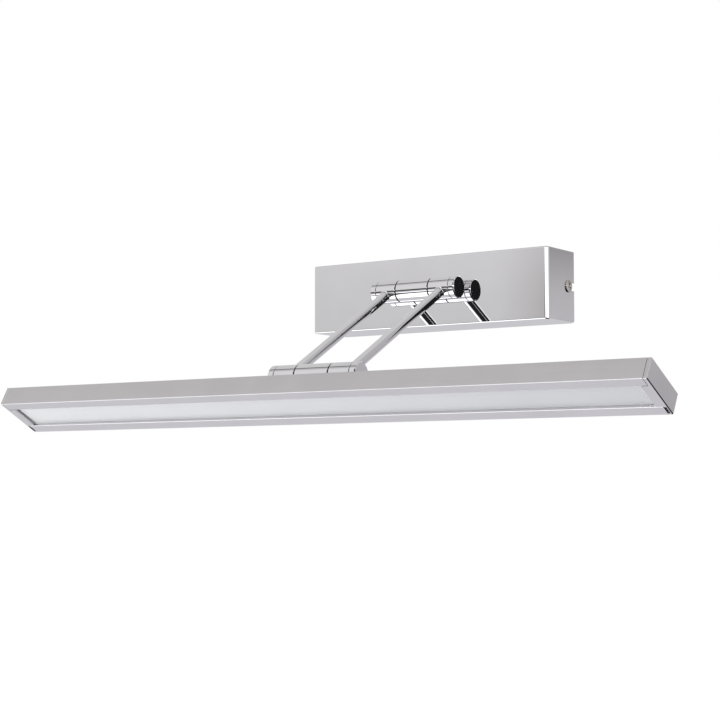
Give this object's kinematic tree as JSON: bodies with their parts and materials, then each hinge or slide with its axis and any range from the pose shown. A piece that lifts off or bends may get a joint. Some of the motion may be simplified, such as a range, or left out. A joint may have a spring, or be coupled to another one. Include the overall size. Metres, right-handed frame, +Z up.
{
  "type": "picture light",
  "caption": "Slim LED picture light: a long flat head on a pair of tubular arms, hinged at the head and at a chrome wall box.",
  "frame": {"origin": "centre of the wall face, on the back of the wall bracket", "axes": "+X along the lamp head, to the right as seen from in front; +Y into the wall; +Z up"},
  "size_m": [0.4574, 0.1892, 0.1132],
  "materials": {
    "chrome": "polished chrome plate, mirror bright",
    "head_metal": "bright-finished aluminium extrusion, faint drawing lines along its length",
    "nickel": "nickel-plated screw, lightly worn recess",
    "zinc_steel": "zinc-plated steel, fine mottled crystals",
    "opal_acrylic": "opal acrylic, satin face",
    "black_plastic": "moulded black polymer, fine grain",
    "white_plastic": "moulded white polyamide, slightly translucent",
    "rubber": "matt black rubber",
    "white_board": "white solder mask on an aluminium-core board, yellow phosphor on the LEDs",
    "brown_insulation": "brown PVC insulation",
    "blue_insulation": "blue PVC insulation",
    "green_insulation": "green and yellow PVC insulation",
    "white_insulation": "white silicone insulation"
  },
  "bodies": {
    "wall_mount": {"wall_bracket": "zinc_steel", "wall_cover": "chrome", "cover_screw_right": "nickel", "cover_screw_left": "nickel", "cable_grommet": "rubber", "driver_case": "black_plastic", "driver_screw_left": "zinc_steel", "driver_screw_right": "zinc_steel", "terminal_block": "white_plastic", "terminal_screw": "zinc_steel", "earth_tag": "zinc_steel", "earth_screw": "zinc_steel", "live_lead": "brown_insulation", "neutral_lead": "blue_insulation", "earth_lead": "green_insulation", "output_lead": "white_insulation", "upper_post_washer": "zinc_steel", "upper_post_nut": "zinc_steel", "upper_hinge_barrel": "chrome"},
    "arms": {"upper_axle": "zinc_steel", "upper_knuckle_right": "chrome", "upper_knuckle_left": "chrome", "upper_end_cap_right": "chrome", "upper_end_cap_left": "chrome", "upper_friction_washer_right": "black_plastic", "upper_friction_washer_left": "black_plastic", "arm_tube_right": "chrome", "arm_tube_left": "chrome", "arm_lead_right": "white_insulation", "arm_lead_left": "white_insulation", "lower_axle": "zinc_steel", "lower_knuckle_right": "chrome", "lower_knuckle_left": "chrome", "lower_end_cap_right": "chrome", "lower_end_cap_left": "chrome", "lower_friction_washer_right": "black_plastic", "lower_friction_washer_left": "black_plastic"},
    "lamp_head": {"lower_hinge_barrel": "chrome", "lower_post_washer": "zinc_steel", "lower_post_nut": "zinc_steel", "head_lead": "white_insulation", "head_housing": "head_metal", "head_cap_right": "head_metal", "head_cap_left": "head_metal", "diffuser": "opal_acrylic", "led_board": "white_board"}
  },
  "joints": [
    {"name": "arm_hinge", "type": "hinge", "parent": "wall_mount", "child": "arms", "pos_m": [0, -0.04525, 0], "axis": [1, 0, 0], "range_deg": [-110, 55]},
    {"name": "head_hinge", "type": "hinge", "parent": "arms", "child": "lamp_head", "pos_m": [0, -0.15433, -0.06146], "axis": [1, 0, 0], "range_deg": [-120, 90]}
  ]
}
